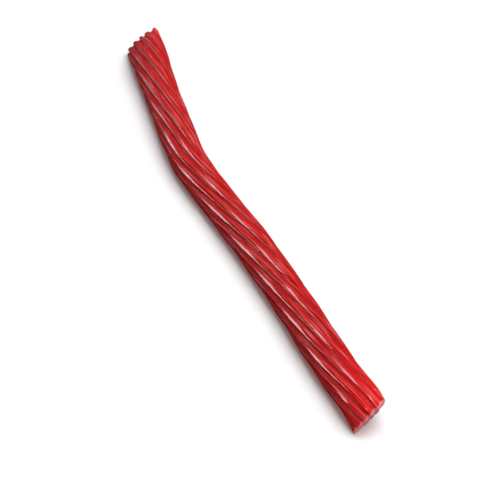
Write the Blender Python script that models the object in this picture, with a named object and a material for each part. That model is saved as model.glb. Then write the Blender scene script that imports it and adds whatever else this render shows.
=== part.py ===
"""A red licorice twist: a hollow, ribbed rope of candy, twisted to the left and pinched flat at each cut end.

Units are metres, +Z is up. The twist lies along X on the plane Z = 0, with its origin at the bottom centre
of its box. Its far end is at -X and its near end at +X. The driving dimensions are in millimetres, and MM
turns them into metres.
"""

import math
import random

import bmesh
import bpy
import numpy as np

MM = 0.001

NAME = "licorice_twist"

# Length of the rope from cut to cut, measured along X
LENGTH = 197.0

# Sideways bow of the rope, as places (distance from the far end, offset to +Y)
BOW = ((0, 0.0), (28, -3.5), (48, -5.7), (66, -7.1), (86, -5.7), (110, -3.6), (140, -2.1), (170, -1.3),
       (197, 0.4))

# Width over the ridges, as places (distance from the far end, width)
WIDTHS = ((0, 12.1), (12, 11.6), (30, 10.8), (50, 11.0), (68, 10.7), (88, 10.5), (108, 11.0),
          (135, 11.1), (157, 11.5), (183, 11.7), (197, 12.5))

# Thickness of the rope against its width away from the ends
ROUNDNESS = 0.78

# How strongly the ridges are spread evenly round a flattened section
EVEN_SPREAD = 0.3

# The pinch at each cut: its length along the rope, and the height left at the cut against the width there
FAR_PINCH_LENGTH = 18.0
NEAR_PINCH_LENGTH = 12.0
PINCH_HEIGHT = 0.36

# How sharply the pinch sets in: the power to which its share along the end is raised
PINCH_POWER = 3

# The long side of the flattened section leans up towards +Y by this angle
LEAN = math.radians(40)

# How far the upper wall of the near cut reaches past the lower one, against the height there
NEAR_CUT_SLANT = 0.95

# How far the upper corner is drawn back at the near cut and drawn out at the far one, and how far the cut
# edge is drawn back at a groove
NEAR_CORNER = 1.2
FAR_CORNER = 1.2
CUT_NOTCH = 0.4

# Ridges: how many, the length of one whole turn, and the extra turn that the far end was given
RIDGES = 11
PITCH = 215.5
EXTRA_TURN = 0.117
EXTRA_TURN_LENGTH = 61.5
FIRST_RIDGE = math.radians(22.5)

# Depth of the groove between two ridges
GROOVE_DEPTH = 0.55

# One ridge across with the groove before it, as places (share of the spacing from the ridge's middle, share of
# the groove's depth). The ridge leans over: it rises slowly to a raised edge and drops steeply behind it.
RIDGE_SHAPE = ((-0.55, 1.0), (-0.34, 0.82), (-0.13, 0.28), (0.17, 0.0), (0.29, 0.76))

# How the ridges differ: sideways shift in shares of the spacing, change of height, and the length over which
# both come and go, with the spread of that length from ridge to ridge
RIDGE_SHIFT = 0.05
RIDGE_HEIGHT_CHANGE = 0.14
RIDGE_WANDER_LENGTH = 90.0
RIDGE_WANDER_SPREAD = (0.8, 1.25)
SEED = 11

# The hollow down the middle, round inside the rope and a flat slot at the cuts
BORE = 3.6
SLOT_WIDTH = 6.4
SLOT_HEIGHT = 0.7

# How far the soft underside is pressed flat on what it lies on
SAG = 0.32

# Rings along the rope, in the plain run and in each pinched end, and the power that crowds them towards a cut
RUN_RINGS = 42
END_RINGS = 8
RING_CROWDING = 1.5

# Distance to each side of a section over which the slope of the bow is taken
SLOPE_STEP = 0.5

RED = (0.55, 0.008, 0.012, 1.0)
ROUGHNESS = 0.28


def through(places, x):
    """Height at x of a smooth curve through the places, level with its neighbours' slope at each one."""
    xs = [place[0] for place in places]
    ys = [place[1] for place in places]
    last = len(places) - 1
    slopes = [(ys[min(i + 1, last)] - ys[max(i - 1, 0)]) / (xs[min(i + 1, last)] - xs[max(i - 1, 0)])
              for i in range(len(places))]
    i = min(max(int(np.searchsorted(xs, x)) - 1, 0), last - 1)
    span = xs[i + 1] - xs[i]
    t = (x - xs[i]) / span
    return (ys[i] * (1 + 2 * t) * (1 - t) ** 2 + slopes[i] * span * t * (1 - t) ** 2
            + ys[i + 1] * t * t * (3 - 2 * t) - slopes[i + 1] * span * t * t * (1 - t))


def pinch(x):
    """How far the rope is pinched at x: 1 at a cut, 0 in the plain run."""
    far = max(0.0, 1 - x / FAR_PINCH_LENGTH)
    near = max(0.0, 1 - (LENGTH - x) / NEAR_PINCH_LENGTH)
    return max(far, near) ** PINCH_POWER


def turn(x):
    """Angle of the first ridge at x. It falls along +X, which makes the twist left-handed."""
    extra = EXTRA_TURN * (1 - max(0.0, 1 - x / EXTRA_TURN_LENGTH) ** 2)
    return FIRST_RIDGE - 2 * math.pi * (x / PITCH + extra)


class Section:
    """The flat frame of one cut across the rope: its centre, its half sizes and its two directions."""

    def __init__(self, x):
        self.x = x
        self.half_width = through(WIDTHS, x) / 2
        squeeze = pinch(x)
        self.flatness = ROUNDNESS * (1 - squeeze) + PINCH_HEIGHT * squeeze
        self.half_height = self.half_width * self.flatness
        self.squeeze = squeeze
        slope = (through(BOW, x + SLOPE_STEP) - through(BOW, x - SLOPE_STEP)) / (2 * SLOPE_STEP)
        side = np.array((-slope, 1.0, 0.0)) / math.hypot(1, slope)
        up = np.array((0.0, 0.0, 1.0))
        self.long_way = side * math.cos(LEAN) + up * math.sin(LEAN)
        self.short_way = -side * math.sin(LEAN) + up * math.cos(LEAN)
        reach_down = math.hypot(self.half_width * math.sin(LEAN),
                                self.half_height * math.cos(LEAN))
        self.centre = np.array((x, through(BOW, x), reach_down - SAG))

    def spread(self, angle):
        """The angle from the long way of the section, closer to its neighbours on its flat sides."""
        leaned = angle - LEAN
        return leaned + EVEN_SPREAD * (1 - self.flatness) * math.sin(2 * leaned)

    def point(self, across, over, sunk=0.0):
        """The point at distances along the long and the short way, sunk by a share of a groove's depth."""
        place = self.centre + self.long_way * across + self.short_way * over
        near_share = max(0.0, 1 - (LENGTH - self.x) / NEAR_PINCH_LENGTH)
        far_share = max(0.0, 1 - self.x / FAR_PINCH_LENGTH)
        upper_corner = max(0.0, across / self.half_width) ** 3
        place[0] += near_share * (NEAR_CUT_SLANT * over - NEAR_CORNER * upper_corner - CUT_NOTCH * sunk)
        place[0] += far_share * (CUT_NOTCH * sunk - FAR_CORNER * upper_corner)
        return place


class Ridge:
    """One ridge, which wanders a little from its place and differs a little in height along the rope."""

    def __init__(self, number, draw):
        self.number = number
        self.shift_phase = draw.uniform(0, 2 * math.pi)
        self.height_phase = draw.uniform(0, 2 * math.pi)
        self.wave = RIDGE_WANDER_LENGTH * draw.uniform(*RIDGE_WANDER_SPREAD)

    def angle(self, share, x):
        """Angle round the rope of a place at a share of the spacing from the ridge's middle."""
        wander = RIDGE_SHIFT * math.sin(2 * math.pi * x / self.wave + self.shift_phase)
        return turn(x) + (self.number + share + wander) * 2 * math.pi / RIDGES

    def depth(self, share_of_depth, x):
        """Depth below the ridge's top at x."""
        change = 1 + RIDGE_HEIGHT_CHANGE * math.sin(2 * math.pi * x / self.wave + self.height_phase)
        return GROOVE_DEPTH * share_of_depth * change


def outline(section, ridges):
    """Points round the outside of a section, from the groove before each ridge to the next one."""
    points = []
    for ridge in ridges:
        for share, share_of_depth in RIDGE_SHAPE:
            angle = section.spread(ridge.angle(share, section.x))
            depth = ridge.depth(share_of_depth, section.x)
            points.append(section.point((section.half_width - depth) * math.cos(angle),
                                        (section.half_height - depth) * math.sin(angle), share_of_depth))
    return points


def bore(section):
    """Points round the hollow of a section, one for each groove."""
    half_width = (BORE + (SLOT_WIDTH - BORE) * section.squeeze) / 2
    half_height = (BORE + (SLOT_HEIGHT - BORE) * section.squeeze) / 2
    points = []
    for number in range(RIDGES):
        angle = section.spread(turn(section.x) + (number - 0.5) * 2 * math.pi / RIDGES)
        points.append(section.point(half_width * math.cos(angle), half_height * math.sin(angle)))
    return points


def ring_places():
    """Distances from the far end of the sections, which stand closer together towards the cuts."""
    far = [FAR_PINCH_LENGTH * (i / END_RINGS) ** RING_CROWDING for i in range(END_RINGS)]
    near = [LENGTH - NEAR_PINCH_LENGTH * (i / END_RINGS) ** RING_CROWDING for i in range(END_RINGS)]
    run = np.linspace(FAR_PINCH_LENGTH, LENGTH - NEAR_PINCH_LENGTH, RUN_RINGS)
    return far + [float(x) for x in run] + near[::-1]


def add_ring(mesh, points):
    """Adds the points as vertices, in metres, with what would sink below the floor pressed flat on it."""
    return [mesh.verts.new((p[0] * MM, p[1] * MM, max(p[2], 0.0) * MM)) for p in points]


def add_wall(mesh, first, second):
    """Joins two rings with the same number of points by a band of triangles."""
    count = len(first)
    for i in range(count):
        j = (i + 1) % count
        mesh.faces.new((first[i], second[i], second[j]))
        mesh.faces.new((first[i], second[j], first[j]))


def add_cut_face(mesh, outside, inside, faces_far):
    """Closes an end between the outside ring and the smaller ring of the hollow."""
    each = len(outside) // len(inside)
    for i, corner in enumerate(inside):
        next_corner = inside[(i + 1) % len(inside)]
        fan = [outside[(i * each + k) % len(outside)] for k in range(each + 1)]
        triangles = [(corner, fan[k + 1], fan[k]) for k in range(each)]
        triangles.append((corner, next_corner, fan[each]))
        for triangle in triangles:
            mesh.faces.new(triangle if faces_far else triangle[::-1])


def build_rope():
    """The whole twist as one closed mesh: the ribbed outside, the hollow and the two cut faces."""
    draw = random.Random(SEED)
    ridges = [Ridge(number, draw) for number in range(RIDGES)]
    mesh = bmesh.new()
    outer, inner = [], []
    for x in ring_places():
        section = Section(x)
        outer.append(add_ring(mesh, outline(section, ridges)))
        inner.append(add_ring(mesh, bore(section)))
    for first, second in zip(outer, outer[1:]):
        add_wall(mesh, first, second)
    for first, second in zip(inner, inner[1:]):
        add_wall(mesh, second, first)
    add_cut_face(mesh, outer[0], inner[0], True)
    add_cut_face(mesh, outer[-1], inner[-1], False)
    bmesh.ops.recalc_face_normals(mesh, faces=mesh.faces)
    return mesh


def centre_on_origin(mesh):
    """Moves the mesh so that the bottom centre of its box is at the origin."""
    places = np.array([vertex.co[:] for vertex in mesh.verts])
    middle = (places.min(axis=0) + places.max(axis=0)) / 2
    bmesh.ops.translate(mesh, vec=(-middle[0], -middle[1], -places[:, 2].min()), verts=mesh.verts)


def candy_material():
    """Glossy red candy."""
    material = bpy.data.materials.new("red_candy")
    material.use_nodes = True
    shader = material.node_tree.nodes["Principled BSDF"]
    shader.inputs["Base Color"].default_value = RED
    shader.inputs["Metallic"].default_value = 0.0
    shader.inputs["Roughness"].default_value = ROUGHNESS
    return material


def main():
    """Clears the scene and puts the twist in a collection of its own name."""
    for thing in list(bpy.data.objects):
        bpy.data.objects.remove(thing, do_unlink=True)
    collection = bpy.data.collections.new(NAME)
    bpy.context.scene.collection.children.link(collection)
    rope = build_rope()
    centre_on_origin(rope)
    mesh = bpy.data.meshes.new(NAME)
    rope.to_mesh(mesh)
    rope.free()
    mesh.materials.append(candy_material())
    twist = bpy.data.objects.new(NAME, mesh)
    collection.objects.link(twist)


main()
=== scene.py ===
"""Looks of a red licorice twist: a hollow, ribbed rope of candy lying on a pale floor.

The driving dimensions are in millimetres, and MM turns them into metres. The twist lies along X, with its far
end at -X and its near end at +X. Its skin is one fine mesh, wound from the same named sizes as the solid that
it replaces, with rounded ridge edges, a soft rim round each cut and the hollow down the middle. The material
adds what is finer: pale streaks and lines along the ridges, partly painted highlight, a fine hatch across
them and pale cuts. Its colour also holds painted glow in the grooves and at the near end, and painted sheen
on the ridges' tops.
"""

import math
import random

import bpy
import numpy as np
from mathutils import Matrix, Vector


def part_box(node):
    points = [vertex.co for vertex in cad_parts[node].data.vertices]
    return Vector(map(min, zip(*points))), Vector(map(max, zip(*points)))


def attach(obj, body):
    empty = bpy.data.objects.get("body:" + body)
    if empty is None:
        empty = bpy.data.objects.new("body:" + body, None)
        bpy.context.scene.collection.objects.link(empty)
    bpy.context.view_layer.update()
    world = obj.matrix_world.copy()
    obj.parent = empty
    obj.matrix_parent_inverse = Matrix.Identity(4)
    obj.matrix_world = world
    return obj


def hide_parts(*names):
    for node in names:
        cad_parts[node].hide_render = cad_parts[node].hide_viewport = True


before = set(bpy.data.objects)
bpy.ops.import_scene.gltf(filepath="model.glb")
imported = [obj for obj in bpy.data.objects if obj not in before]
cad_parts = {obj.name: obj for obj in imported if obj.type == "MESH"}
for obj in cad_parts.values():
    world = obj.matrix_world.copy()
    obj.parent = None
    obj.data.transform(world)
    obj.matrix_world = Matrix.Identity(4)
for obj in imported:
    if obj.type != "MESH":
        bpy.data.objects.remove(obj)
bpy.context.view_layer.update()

MM = 0.001
NODE = "licorice_twist"

# Length of the rope from cut to cut, measured along X
LENGTH = 197.0

# Sideways bow of the rope, as places (distance from the far end, offset to +Y)
BOW = ((0, 0.0), (28, -3.5), (48, -5.7), (66, -7.1), (86, -5.7), (110, -3.6), (140, -2.1), (170, -1.3),
       (197, 0.4))

# Width over the ridges, as places (distance from the far end, width)
WIDTHS = ((0, 12.1), (12, 11.6), (30, 10.8), (50, 11.0), (68, 10.7), (88, 10.5), (108, 11.0),
          (135, 11.1), (157, 11.5), (183, 11.7), (197, 12.5))

# Thickness of the rope against its width away from the ends
ROUNDNESS = 0.78

# How strongly the ridges are spread evenly round a flattened section
EVEN_SPREAD = 0.3

# The pinch at each cut: its length along the rope, the height left at the cut against the width there,
# and how sharply it sets in
FAR_PINCH_LENGTH = 18.0
NEAR_PINCH_LENGTH = 12.0
PINCH_HEIGHT = 0.36
PINCH_POWER = 3

# The long side of the flattened section leans up towards +Y by this angle
LEAN = math.radians(40)

# How far the upper wall of the near cut reaches past the lower one, against the height there
NEAR_CUT_SLANT = 0.95

# How far the upper corner is drawn back at the near cut and drawn out at the far one, how sharp that corner
# is, and how far the cut edge is drawn back at a groove
NEAR_CORNER = 1.2
FAR_CORNER = 1.2
CORNER_POWER = 3
CUT_NOTCH = 0.4

# Ridges: how many, the length of one whole turn, and the extra turn that the far end was given
RIDGES = 11
PITCH = 215.5
EXTRA_TURN = 0.117
EXTRA_TURN_LENGTH = 61.5
FIRST_RIDGE = math.radians(22.5)

# Depth of the groove between two ridges
GROOVE_DEPTH = 0.55

# One ridge and the groove after it across, as places (share of the spacing from the ridge's middle, share of
# the groove's depth), and how softly the bends between them are rounded
RIDGE_SHAPE = ((-0.21, 0.34), (-0.15, 0.20), (-0.10, 0.13), (0.02, 0.07), (0.10, 0.03), (0.18, 0.0),
               (0.22, 0.05), (0.26, 0.24), (0.32, 0.68), (0.38, 0.91), (0.47, 1.0), (0.57, 0.96),
               (0.66, 0.82), (0.73, 0.58))
BEND_SOFTNESS = 0.015

# The glossy strip along a ridge's high edge and the hatched part of its top, from and to these shares of the
# spacing, with the softness of their borders
GLOSS_STRIP = (-0.12, 0.26)
HATCHED_PART = (-0.38, -0.10)
BORDER = 0.04

# How the ridges differ: sideways shift in shares of the spacing, change of height, and the length over which
# both come and go, with the spread of that length from ridge to ridge
RIDGE_SHIFT = 0.05
RIDGE_HEIGHT_CHANGE = 0.14
RIDGE_WANDER_LENGTH = 90.0
RIDGE_WANDER_SPREAD = (0.8, 1.25)
SEED = 11

# Small unevenness of the skin: how many waves, their height, their length along the rope, and the most of one
# wave's crests round it
RIPPLES = 9
RIPPLE_HEIGHT = 0.008
RIPPLE_LENGTHS = (6.0, 40.0)
RIPPLE_MOST_ROUND = 7

# How far the tops of the ridges stay inside the widths above, so that the ripples fit in too
SKIN_INSET = 0.03

# The hollow down the middle, round inside the rope and a flat slot at the cuts
BORE = 3.6
SLOT_WIDTH = 6.4
SLOT_HEIGHT = 0.7

# How far the soft underside is pressed flat on what it lies on
SAG = 0.32

# Radius of the rounded rim at each cut
RIM_ROUND = 0.35

# Unevenness of a cut face: its depth, how many waves it is made of, the crests of the first one round the
# face, how many more each next one has, and how far they turn from the rim to the hollow
CUT_BUMPS = 0.10
CUT_WAVES = 4
CUT_FIRST_CRESTS = 3
CUT_MORE_CRESTS = 4
CUT_WAVE_TURN = 5.0

# How far the paleness of a cut reaches along the skin, on top of a ridge and in a groove
PALE_RIM = (0.7, 1.5)

# Distance to each side of a section over which the slope of the bow is taken
SLOPE_STEP = 0.5

# Points across one ridge, and rings along the skin, in each rim, in each cut face and along the hollow
RIDGE_POINTS = 18
RUN_RINGS = 390
RIM_RINGS = 6
FACE_RINGS = 7
BORE_RINGS = 60

# How much closer together the rings stand towards a cut
RIM_CROWDING = 2.0

# Fine steps across one ridge, and how much closer the points stand where its outline bends most
PROFILE_STEPS = 800
BEND_CROWDING = 2.5


def through(places, x):
    """Heights at x of a smooth curve through the places, where each one's neighbours set its slope."""
    xs, ys = np.array(places, float).T
    slopes = np.empty(len(xs))
    slopes[1:-1] = (ys[2:] - ys[:-2]) / (xs[2:] - xs[:-2])
    slopes[0] = (ys[1] - ys[0]) / (xs[1] - xs[0])
    slopes[-1] = (ys[-1] - ys[-2]) / (xs[-1] - xs[-2])
    i = np.clip(np.searchsorted(xs, x) - 1, 0, len(xs) - 2)
    span = xs[i + 1] - xs[i]
    t = (x - xs[i]) / span
    return (ys[i] * (1 + 2 * t) * (1 - t) ** 2 + slopes[i] * span * t * (1 - t) ** 2
            + ys[i + 1] * t * t * (3 - 2 * t) - slopes[i + 1] * span * t * t * (1 - t))


def end_shares(x):
    """How far x lies into the pinched far end and into the near one: 1 at the cut, 0 in the plain run."""
    far = np.maximum(0, 1 - x / FAR_PINCH_LENGTH)
    near = np.maximum(0, 1 - (LENGTH - x) / NEAR_PINCH_LENGTH)
    return far, near


def turn(x):
    """Angle of the first ridge at x. It falls along +X, which makes the twist left-handed."""
    extra = EXTRA_TURN * (1 - np.maximum(0, 1 - x / EXTRA_TURN_LENGTH) ** 2)
    return FIRST_RIDGE - 2 * math.pi * (x / PITCH + extra)


def ridge_profile():
    """Shares across one ridge and its groove, and the shares of the groove's depth there, with soft bends."""
    shares = np.arange(PROFILE_STEPS) / PROFILE_STEPS - 0.5
    places, depths = np.array(RIDGE_SHAPE).T
    waves = np.fft.rfft(np.interp(shares, places, depths, period=1))
    softened = waves * np.exp(-2 * (math.pi * BEND_SOFTNESS * np.arange(len(waves))) ** 2)
    return shares, np.fft.irfft(softened, PROFILE_STEPS)


class Sections:
    """The flat frames of many cuts across the rope: their centres, half sizes and two directions."""

    def __init__(self, x):
        far, near = end_shares(x)
        self.far_share = far[:, None]
        self.near_share = near[:, None]
        self.squeeze = np.maximum(far, near) ** PINCH_POWER
        self.half_width = through(WIDTHS, x) / 2
        self.flatness = ROUNDNESS * (1 - self.squeeze) + PINCH_HEIGHT * self.squeeze
        self.half_height = self.half_width * self.flatness
        slope = (through(BOW, x + SLOPE_STEP) - through(BOW, x - SLOPE_STEP)) / (2 * SLOPE_STEP)
        side = np.stack((-slope, np.ones_like(x), np.zeros_like(x)), axis=1) / np.hypot(1, slope)[:, None]
        up = np.array((0.0, 0.0, 1.0))
        self.long_way = side * math.cos(LEAN) + up * math.sin(LEAN)
        self.short_way = -side * math.sin(LEAN) + up * math.cos(LEAN)
        reach_down = np.hypot(self.half_width * math.sin(LEAN), self.half_height * math.cos(LEAN))
        self.centre = np.stack((x, through(BOW, x), reach_down - SAG), axis=1)

    def spread(self, angles):
        """Angles from the long way of each section, closer together on its flat sides."""
        leaned = angles - LEAN
        return leaned + (EVEN_SPREAD * (1 - self.flatness))[:, None] * np.sin(2 * leaned)

    def points(self, across, over, sunk=0.0):
        """Points at distances along the long and the short way, with the slants and the notches of the cuts.

        Sunk is how far down a groove each point lies, as a share of the groove's depth.
        """
        places = (self.centre[:, None] + self.long_way[:, None] * across[..., None]
                  + self.short_way[:, None] * over[..., None])
        upper_corner = np.maximum(0, across / self.half_width[:, None]) ** CORNER_POWER
        notch = CUT_NOTCH * sunk
        places[..., 0] += self.near_share * (NEAR_CUT_SLANT * over - NEAR_CORNER * upper_corner - notch)
        places[..., 0] += self.far_share * (notch - FAR_CORNER * upper_corner)
        return places


class Ridges:
    """All ridges, each of which wanders a little from its place and differs a little in height."""

    def __init__(self):
        draw = random.Random(SEED)
        numbers = [(draw.uniform(0, 2 * math.pi), draw.uniform(0, 2 * math.pi),
                    draw.uniform(*RIDGE_WANDER_SPREAD)) for _ in range(RIDGES)]
        self.shift_phase, self.height_phase, stretch = np.array(numbers).T
        self.wave = RIDGE_WANDER_LENGTH * stretch
        shares, profile = ridge_profile()
        bend = np.abs(np.roll(profile, -1) - 2 * profile + np.roll(profile, 1))
        length = np.cumsum(1 + BEND_CROWDING * bend / bend.max())
        self.shares = np.interp(np.arange(RIDGE_POINTS) / RIDGE_POINTS * length[-1], length, shares)
        self.profile = np.interp(self.shares, shares, profile)
        self.across = (np.arange(RIDGES)[:, None] + self.shares).ravel()

    def angles(self, x):
        """Angles round the rope of all points of each ring."""
        swing = np.sin(2 * math.pi * x[:, None] / self.wave + self.shift_phase)
        wander = np.repeat(RIDGE_SHIFT * swing, RIDGE_POINTS, axis=1)
        return turn(x)[:, None] + (self.across + wander) * 2 * math.pi / RIDGES

    def depths(self, x):
        """Depths of all points of each ring below the tops of the ridges."""
        change = 1 + RIDGE_HEIGHT_CHANGE * np.sin(2 * math.pi * x[:, None] / self.wave + self.height_phase)
        return (GROOVE_DEPTH * self.profile * change[..., None]).reshape(len(x), -1)

    def band(self, ends):
        """For each point of a ring 1 between two shares across a ridge and 0 elsewhere, with soft borders."""
        rise = (self.shares - ends[0]) / BORDER + 0.5
        fall = (ends[1] - self.shares) / BORDER + 0.5
        return np.tile(np.clip(np.minimum(rise, fall), 0, 1), RIDGES)


class Ripples:
    """Shallow waves that run over the skin at different slants and keep it from looking machined."""

    def __init__(self):
        draw = random.Random(SEED + 1)
        self.waves = [(draw.uniform(*RIPPLE_LENGTHS), draw.randint(-RIPPLE_MOST_ROUND, RIPPLE_MOST_ROUND),
                       draw.uniform(0, 2 * math.pi)) for _ in range(RIPPLES)]

    def heights(self, x, angles):
        """How far the waves lift the skin at the angles of each ring."""
        total = np.zeros_like(angles)
        for length, count, phase in self.waves:
            total += np.sin(2 * math.pi * x[:, None] / length + count * angles + phase)
        return RIPPLE_HEIGHT * total


def ring_places():
    """Distances of the skin's rings from the far end, closer together in the rounded rims."""
    rim = RIM_ROUND * (np.arange(RIM_RINGS) / RIM_RINGS) ** RIM_CROWDING
    run = np.linspace(RIM_ROUND, LENGTH - RIM_ROUND, RUN_RINGS)
    return np.concatenate((rim, run, LENGTH - rim[::-1]))


def rim_inset(x):
    """How far the skin draws in at x on its way round the rim of a cut."""
    left = np.clip(1 - np.minimum(x, LENGTH - x) / RIM_ROUND, 0, 1)
    return RIM_ROUND * (1 - np.sqrt(1 - left * left))


def skin_rings(ridges, ripples):
    """The ribbed outside, ring after ring."""
    x = ring_places()
    sections = Sections(x)
    angles = ridges.angles(x)
    depths = ridges.depths(x)
    inset = depths + rim_inset(x)[:, None] + SKIN_INSET - ripples.heights(x, angles)
    leaned = sections.spread(angles)
    places = sections.points((sections.half_width[:, None] - inset) * np.cos(leaned),
                             (sections.half_height[:, None] - inset) * np.sin(leaned), depths / GROOVE_DEPTH)
    return x, places, depths / GROOVE_DEPTH


def bore_rings(ridges):
    """The hollow down the middle, from the near cut back to the far one."""
    x = np.linspace(LENGTH, 0, BORE_RINGS)
    sections = Sections(x)
    half_width = (BORE + (SLOT_WIDTH - BORE) * sections.squeeze) / 2
    half_height = (BORE + (SLOT_HEIGHT - BORE) * sections.squeeze) / 2
    leaned = sections.spread(ridges.angles(x))
    return x, sections.points(half_width[:, None] * np.cos(leaned), half_height[:, None] * np.sin(leaned))


def face_rings(outside, inside, outward, draw):
    """The rings of a slightly uneven cut face, from the skin to the hollow.

    Outward is 1 where the face looks to +X and -1 where it looks to -X.
    """
    rings = []
    count = len(outside)
    phases = [draw.uniform(0, 2 * math.pi) for _ in range(CUT_WAVES)]
    around = np.arange(count) / count * 2 * math.pi
    for step in range(1, FACE_RINGS):
        share = step / FACE_RINGS
        ring = outside + (inside - outside) * share
        turned = CUT_WAVE_TURN * share
        waves = [np.sin(around * (CUT_FIRST_CRESTS + CUT_MORE_CRESTS * number) + phase + turned)
                 for number, phase in enumerate(phases)]
        ring[:, 0] -= outward * CUT_BUMPS * (1 + sum(waves) / CUT_WAVES) * math.sin(math.pi * share)
        rings.append(ring)
    return rings


def fit_to_solid(rings):
    """The rings' points in metres, no larger than the solid's box, in its middle and on its bottom."""
    corners = rings.reshape(-1, 3) * MM
    low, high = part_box(NODE)
    middle = (corners.min(axis=0) + corners.max(axis=0)) / 2
    size = corners.max(axis=0) - corners.min(axis=0)
    shrink = min(1.0, *((high - low)[axis] / size[axis] for axis in range(3)))
    corners = (corners - middle) * shrink
    corners[:, :2] += np.array((low + high)[:2]) / 2
    corners[:, 2] += low.z - corners[:, 2].min()
    return corners


def ring_quads(count, around):
    """Faces between each ring and the next one, and between the last ring and the first."""
    ring, place = np.meshgrid(np.arange(count), np.arange(around), indexing="ij")
    next_ring = (ring + 1) % count
    next_place = (place + 1) % around
    return np.stack((ring * around + place, next_ring * around + place,
                     next_ring * around + next_place, ring * around + next_place), axis=-1).reshape(-1, 4)


def cut_paleness(x, groove):
    """For each point of the skin 1 at a cut and 0 beyond the pale rim, which is wider in the grooves."""
    reach = PALE_RIM[0] + (PALE_RIM[1] - PALE_RIM[0]) * groove
    return np.clip(1 - np.minimum(x, LENGTH - x)[:, None] / reach, 0, 1)


def build_rope():
    """The whole twist as one closed mesh with smooth shading."""
    ridges = Ridges()
    x, skin, groove = skin_rings(ridges, Ripples())
    bore_x, bore = bore_rings(ridges)
    draw = random.Random(SEED + 2)
    near_face = face_rings(skin[-1], bore[0], 1, draw)
    far_face = face_rings(skin[0], bore[-1], -1, draw)[::-1]
    rings = np.concatenate((skin, near_face, bore, far_face))
    along = np.concatenate((x, [LENGTH] * len(near_face), bore_x, [0.0] * len(far_face)))
    count, around = rings.shape[:2]

    # What would reach below the surface is pressed flat on it
    rings[..., 2] = np.maximum(rings[..., 2], 0)
    mesh = bpy.data.meshes.new("twist")
    mesh.from_pydata(fit_to_solid(rings).tolist(), [], ring_quads(count, around).tolist())
    mesh.shade_smooth()

    # Numbers for the material: their values on the skin and on the cut faces, while the hollow has 0
    stored = (("groove", groove, 0), ("gloss", ridges.band(GLOSS_STRIP), 0),
              ("hatched", ridges.band(HATCHED_PART), 0), ("cut", cut_paleness(x, groove), 1))
    for name, on_skin, on_faces in stored:
        numbers = np.zeros((count, around))
        numbers[:len(skin)] = on_skin
        numbers[len(skin):len(skin) + len(near_face)] = on_faces
        numbers[-len(far_face):] = on_faces
        add_numbers(mesh, name, numbers)
    add_skin_map(mesh, along, ridges.across, count, around)
    return mesh


def add_numbers(mesh, name, values):
    """Stores one number a vertex under a name that the material reads."""
    attribute = mesh.attributes.new(name, "FLOAT", "POINT")
    attribute.data.foreach_set("value", np.ascontiguousarray(values, np.float32).ravel())


def add_skin_map(mesh, along, across, count, around):
    """Unrolls the skin: distance along the rope in millimetres, and ridges counted round it."""
    ring, place = np.meshgrid(np.arange(count), np.arange(around), indexing="ij")
    closed = np.append(across, across[0] + RIDGES)
    u = np.stack((along[ring], along[(ring + 1) % count], along[(ring + 1) % count], along[ring]), axis=-1)
    v = np.stack((closed[place], closed[place], closed[place + 1], closed[place + 1]), axis=-1)
    layer = mesh.uv_layers.new(name="skin")
    layer.data.foreach_set("uv", np.stack((u, v), axis=-1).astype(np.float32).ravel())


class Nodes:
    """Short ways to add and join the nodes of one material."""

    def __init__(self, material):
        self.tree = material.node_tree

    def add(self, kind, inputs=None, **settings):
        node = self.tree.nodes.new(kind)
        for name, value in settings.items():
            setattr(node, name, value)
        for name, value in (inputs or {}).items():
            self.feed(node.inputs[name], value)
        return node

    def feed(self, socket, value):
        """Links a socket to another one, or sets it to a plain value."""
        if isinstance(value, bpy.types.NodeSocket):
            self.tree.links.new(value, socket)
        else:
            socket.default_value = value

    def number(self, name):
        """A number that the mesh stores under a name."""
        return self.add("ShaderNodeAttribute", attribute_name=name).outputs["Fac"]

    def maths(self, operation, first, second=0.0):
        return self.add("ShaderNodeMath", {0: first, 1: second}, operation=operation).outputs[0]

    def times(self, first, second):
        return self.maths("MULTIPLY", first, second)

    def plus(self, first, second):
        return self.maths("ADD", first, second)

    def spread(self, value, low, high, to_low=0.0, to_high=1.0):
        """Turns the range from low to high into the one from to_low to to_high, and stops at its ends."""
        inputs = {"Value": value, "From Min": low, "From Max": high, "To Min": to_low, "To Max": to_high}
        return self.add("ShaderNodeMapRange", inputs).outputs[0]

    def mix(self, share, first, second):
        """A colour between two, by the share of the second."""
        node = self.add("ShaderNodeMix", data_type="RGBA")

        # The node has further sockets for other kinds of values, and these numbers are those for colours
        self.feed(node.inputs[0], share)
        self.feed(node.inputs[6], first)
        self.feed(node.inputs[7], second)
        return node.outputs[2]

    def noise(self, along, across, pattern):
        """A noise pattern on the unrolled skin."""
        draw_along, draw_across, scale, detail = pattern
        place = self.add("ShaderNodeCombineXYZ", {0: self.times(along, draw_along),
                                                  1: self.times(across, draw_across)})
        return self.add("ShaderNodeTexNoise", {"Vector": place.outputs[0], "Scale": scale,
                                               "Detail": detail}).outputs[0]

    def bump(self, height, relief, under=None):
        """Relief from a height, laid over the relief under it."""
        strength, distance = relief
        inputs = {"Height": height, "Strength": strength, "Distance": distance}
        if under is not None:
            inputs["Normal"] = under
        return self.add("ShaderNodeBump", inputs).outputs[0]


# Colours of the candy: on top of a ridge a darker red that is partly painted sheen, in a groove a bright red
# that is painted glow, along the pale lines a pink that is partly painted highlight, at the near end a
# painted glow, and on a cut
CROWN_RED_AND_SHEEN = (0.21, 0.0040, 0.0050, 1.0)
GROOVE_GLOW_RED = (0.52, 0.0008, 0.0008, 1.0)
LINE_AND_HIGHLIGHT_PINK = (0.66, 0.11, 0.11, 1.0)
END_GLOW_RED = (0.66, 0.0028, 0.0024, 1.0)
CUT_PINK = (0.80, 0.27, 0.27, 1.0)

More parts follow.
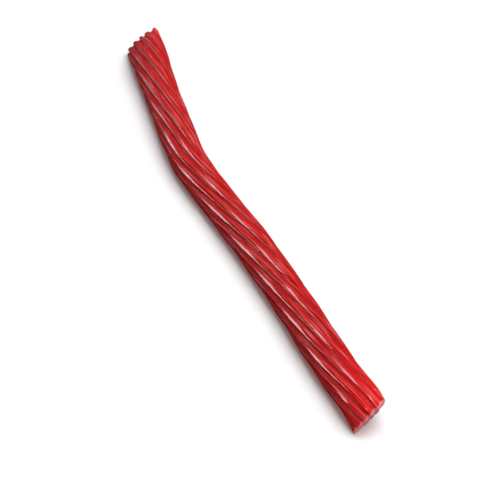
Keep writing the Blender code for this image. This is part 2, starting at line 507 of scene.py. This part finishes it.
# Noise patterns on the unrolled skin: factors on the distance along the rope and on the ridges counted round
# it, where a small factor draws the pattern out, and then its scale and its detail
STREAKS = (0.035, 1.0, 9.0, 3.0)
FINE_LINES = (0.012, 1.0, 7.5, 1.0)
RIB_WOBBLE = (1.0, 1.3, 0.5, 2.0)
GRAIN = (1.0, 1.3, 4.0, 2.0)

# The range in which most of the streaks' noise lies
STREAK_RANGE = (0.35, 0.65)

# The fine hatch on the ridges: spacing of the ribs across the rope and how far the wobble shifts their phase,
# and spacing along the rope and number on a ridge of the slanted lines that break them up
RIB_SPACING = 0.62
RIB_SHIFT = 9.0
SLANT_SPACING = 0.8
SLANTS_ON_RIDGE = 6

# Where the groove's painted glow turns into the top's red and painted sheen, in shares of the groove's depth
TOP_RED_DEPTHS = (0.55, 0.15)

# How strong the top's red, partly painted sheen, is from streak to streak, and in the low and high places of
# the hatch
STREAK_SHARES = (0.35, 1.0)
HATCH_SHARES = (0.6, 1.3)

# The painted highlight line along a ridge's high edge: the share of the spacing where it lies, its width in
# shares and its strength, with the streaks' range over which it comes and goes
EDGE_HIGHLIGHT_PLACE = 0.15
EDGE_HIGHLIGHT_WIDTH = 0.10
EDGE_HIGHLIGHT_STRENGTH = 0.60
EDGE_HIGHLIGHT_RANGE = (0.40, 0.55)

# The other pale lines, partly real streaks and partly painted highlight: the noise's range over which they
# set in, and their strength
FINE_LINE_RANGE = (0.54, 0.63)
FINE_LINE_STRENGTH = 0.7

# How far from the near end its painted glow begins, and how strong it gets
END_GLOW_REACH = 34.0
END_GLOW_STRENGTH = 0.8

# The range of a cut's paleness over which its pink sets in
CUT_PINK_RANGE = (0.15, 0.55)

# Roughness of the dull skin, from streak to streak, and of the glossy strips
DULL_ROUGHNESS = (0.84, 1.0)
GLOSSY_ROUGHNESS = 0.045

# The strips lose their gloss towards the far end, down to this share, between these distances from it
FAR_GLOSS = 0.5
DULL_END = (15.0, 85.0)

# Relief too fine for the mesh: strength and height in metres of the hatch, the streaks and the grain
HATCH_RELIEF = (0.35, 0.00001)
STREAK_RELIEF = (0.4, 0.00002)
GRAIN_RELIEF = (0.4, 0.000006)


class Skin:
    """The unrolled skin as the material sees it: places on it, numbers from the mesh, and patterns."""

    def __init__(self, nodes):
        unrolled = nodes.add("ShaderNodeUVMap", uv_map="skin").outputs[0]
        parts = nodes.add("ShaderNodeSeparateXYZ", {0: unrolled})
        self.along, self.across = parts.outputs[0], parts.outputs[1]
        self.groove = nodes.number("groove")
        self.cut = nodes.number("cut")
        self.gloss = nodes.number("gloss")
        self.hatched = nodes.number("hatched")
        self.streaks = nodes.noise(self.along, self.across, STREAKS)
        self.lines = nodes.noise(self.along, self.across, FINE_LINES)
        self.grain = nodes.noise(self.along, self.across, GRAIN)
        self.hatch = self.add_hatch(nodes)

    def add_hatch(self, nodes):
        """Wavy ribs across the rope, broken up by slanted lines."""
        wobble = nodes.noise(self.along, self.across, RIB_WOBBLE)
        ribs = nodes.plus(nodes.times(self.along, 2 * math.pi / RIB_SPACING), nodes.times(wobble, RIB_SHIFT))
        slants = nodes.plus(nodes.times(self.along, 2 * math.pi / SLANT_SPACING),
                            nodes.times(self.across, 2 * math.pi * SLANTS_ON_RIDGE))
        return nodes.times(nodes.maths("SINE", ribs), nodes.maths("SINE", slants))


def pale_lines_and_highlights(nodes, skin):
    """How strongly the pale lines show: a painted highlight along each ridge's high edge, and finer lines
    everywhere that are partly real streaks and partly painted highlight.
    """
    share = nodes.maths("FRACT", nodes.plus(skin.across, 0.5 - EDGE_HIGHLIGHT_PLACE))
    from_edge = nodes.maths("ABSOLUTE", nodes.maths("SUBTRACT", share, 0.5))
    edge_highlight = nodes.times(nodes.spread(from_edge, 0.0, EDGE_HIGHLIGHT_WIDTH / 2, EDGE_HIGHLIGHT_STRENGTH, 0.0),
                            nodes.spread(skin.streaks, *EDGE_HIGHLIGHT_RANGE, *STREAK_SHARES))
    fine_lines = nodes.spread(skin.lines, *FINE_LINE_RANGE, 0.0, FINE_LINE_STRENGTH)
    return nodes.maths("MAXIMUM", edge_highlight, fine_lines)


def skin_colour(nodes, skin):
    """Bright red in the grooves as painted glow, dark and streaked on the ridges with partly painted sheen,
    painted glow at the near end, pale lines that are partly painted highlight, and pink at a cut.
    """
    # The top's darker, pinkish red is partly painted sheen, and the grooves' bright red is painted glow that
    # also offsets their shade
    top = nodes.times(nodes.spread(skin.groove, *TOP_RED_DEPTHS),
                      nodes.spread(skin.streaks, *STREAK_RANGE, *STREAK_SHARES))
    top = nodes.times(top, nodes.spread(skin.hatch, -1.0, 1.0, *HATCH_SHARES))
    colour = nodes.mix(top, GROOVE_GLOW_RED, CROWN_RED_AND_SHEEN)
    # Painted glow: the red brightens towards the near end
    end_glow = nodes.spread(skin.along, LENGTH - END_GLOW_REACH, LENGTH, 0.0, END_GLOW_STRENGTH)
    colour = nodes.mix(end_glow, colour, END_GLOW_RED)
    # Pale lines, partly real streaks and partly painted highlight
    colour = nodes.mix(pale_lines_and_highlights(nodes, skin), colour, LINE_AND_HIGHLIGHT_PINK)
    return nodes.mix(nodes.spread(skin.cut, *CUT_PINK_RANGE), colour, CUT_PINK)


def skin_roughness(nodes, skin):
    """Dull skin with a glossy strip along each ridge's high edge, less glossy towards the far end."""
    dull = nodes.spread(skin.streaks, *STREAK_RANGE, *DULL_ROUGHNESS)
    shine = nodes.times(skin.gloss, nodes.spread(skin.along, *DULL_END, FAR_GLOSS, 1.0))
    return nodes.add("ShaderNodeMix", {0: shine, 2: dull, 3: GLOSSY_ROUGHNESS}).outputs[0]


def skin_relief(nodes, skin):
    """The hatch on the ridges, then the streaks and the grain everywhere."""
    hatch = nodes.bump(nodes.times(skin.hatch, skin.hatched), HATCH_RELIEF)
    streaks = nodes.bump(skin.streaks, STREAK_RELIEF, hatch)
    return nodes.bump(skin.grain, GRAIN_RELIEF, streaks)


def candy_material():
    """Slightly translucent red candy, glossy along the ridges' high edges alone."""
    material = bpy.data.materials.new("red_candy")
    material.use_nodes = True
    nodes = Nodes(material)
    skin = Skin(nodes)
    shader = material.node_tree.nodes["Principled BSDF"]
    nodes.feed(shader.inputs["Base Color"], skin_colour(nodes, skin))
    nodes.feed(shader.inputs["Roughness"], skin_roughness(nodes, skin))
    nodes.feed(shader.inputs["Normal"], skin_relief(nodes, skin))
    shader.inputs["Metallic"].default_value = 0.0
    shader.inputs["Subsurface Weight"].default_value = 0.8
    shader.inputs["Subsurface Radius"].default_value = (1.0, 0.05, 0.04)
    shader.inputs["Subsurface Scale"].default_value = 0.002
    shader.inputs["IOR"].default_value = 1.48
    shader.inputs["Specular IOR Level"].default_value = 0.22
    shader.inputs["Specular Tint"].default_value = (1.0, 0.50, 0.52, 1.0)
    return material


# Width of the floor in metres
FLOOR_WIDTH = 6.0


def build_floor():
    """A plain pale floor, which lends the twist no light."""
    bpy.ops.mesh.primitive_plane_add(size=FLOOR_WIDTH, location=(0, 0, 0))
    floor = bpy.context.object
    floor.name = "floor"
    material = bpy.data.materials.new("pale_floor")
    material.use_nodes = True
    shader = material.node_tree.nodes["Principled BSDF"]
    shader.inputs["Base Color"].default_value = (0.93, 0.93, 0.93, 1.0)
    shader.inputs["Roughness"].default_value = 0.9
    shader.inputs["Specular IOR Level"].default_value = 0.2
    floor.data.materials.append(material)
    floor.visible_glossy = False
    floor.visible_diffuse = False


# The camera: the two angles of its place, its distance, the picture's size in pixels, how many of them show a
# millimetre, the point in the picture's middle, the sensor's width, and how far the camera sees
AZIMUTH = math.radians(71.14)
ELEVATION = math.radians(35.0)
DISTANCE = 1600.0
PICTURE_PIXELS = 480
PIXELS_PER_MM = 3.541
PICTURE_MIDDLE = (2.7, -1.16, 0.8)
SENSOR = 36.0
SIGHT = 20000.0


def add_camera():
    """The camera at the photograph's viewing angle."""
    back = Vector((math.sin(AZIMUTH) * math.cos(ELEVATION), -math.cos(AZIMUTH) * math.cos(ELEVATION),
                   math.sin(ELEVATION)))
    data = bpy.data.cameras.new("camera")
    data.sensor_width = SENSOR
    data.lens = SENSOR * DISTANCE / (PICTURE_PIXELS / PIXELS_PER_MM)
    data.clip_end = SIGHT * MM
    camera = bpy.data.objects.new("camera", data)
    camera.location = Vector(PICTURE_MIDDLE) * MM + back * DISTANCE * MM
    camera.rotation_euler = (-back).to_track_quat("-Z", "Y").to_euler()
    bpy.context.scene.collection.objects.link(camera)
    bpy.context.scene.camera = camera


# Colour and strength of the even light from all round, and the faint tint of the glints
WHITE = (1.0, 1.0, 1.0)
SKY_STRENGTH = 0.32
GLINT_PINK = (1.0, 0.92, 0.95)

# Soft rectangular lights: name, direction from the origin, distance, width and height in metres, and power in
# watts. Front is the side where the camera stands, and a glint makes highlights alone.
LIGHTS = (
    ("key", (-0.05, 0.32, 1.0), 1.3, 1.2, 1.2, 15.0),
    ("front", (0.85, 0.15, 0.6), 1.4, 0.9, 0.9, 6.0),
    ("back_low_glint", (-0.775, -0.602, 0.193), 1.2, 0.60, 0.34, 9.5),
    ("back_high_glint", (-0.775, -0.044, 0.631), 1.2, 0.22, 0.20, 2.7),
    ("back", (-0.45, 0.85, 0.30), 1.4, 0.9, 0.6, 3.0),
    ("front_top_glint", (0.3, -0.2, 0.93), 1.2, 0.5, 0.3, 7.0),
    ("back_top_glint", (-0.3, 0.2, 0.93), 1.2, 0.5, 0.3, 7.0),
    ("front_low_glint", (0.775, 0.602, 0.193), 1.2, 0.60, 0.50, 12.0),
    ("front_high_glint", (0.775, 0.044, 0.631), 1.2, 0.22, 0.35, 3.2),
)


def add_light(name, direction, distance, width, height, power):
    """A soft rectangular light that faces the origin from a direction."""
    is_glint = name.endswith("glint")
    away = Vector(direction).normalized()
    data = bpy.data.lights.new(name, "AREA")
    data.shape = "RECTANGLE"
    data.size = width
    data.size_y = height
    data.energy = power
    data.color = GLINT_PINK if is_glint else WHITE
    light = bpy.data.objects.new(name, data)
    light.location = away * distance
    light.rotation_euler = (-away).to_track_quat("-Z", "Y").to_euler()
    light.visible_diffuse = not is_glint
    bpy.context.scene.collection.objects.link(light)


def add_lights():
    """Soft studio light: even light from all round, which gloss doesn't mirror, and rectangular lights."""
    world = bpy.data.worlds.new("studio")
    world.use_nodes = True
    background = world.node_tree.nodes["Background"]
    background.inputs["Color"].default_value = (*WHITE, 1.0)
    background.inputs["Strength"].default_value = SKY_STRENGTH
    bpy.context.scene.world = world
    world.cycles_visibility.glossy = False
    for light in LIGHTS:
        add_light(*light)
    bpy.context.scene.view_settings.view_transform = "Standard"


def main():
    """Puts the twist in place of its solid, on the floor, in front of the camera."""
    add_camera()
    twist = bpy.data.objects.new("twist", build_rope())
    bpy.context.scene.collection.objects.link(twist)
    twist.data.materials.append(candy_material())
    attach(twist, "root")
    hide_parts(NODE)
    build_floor()
    add_lights()
    bpy.context.view_layer.update()


main()
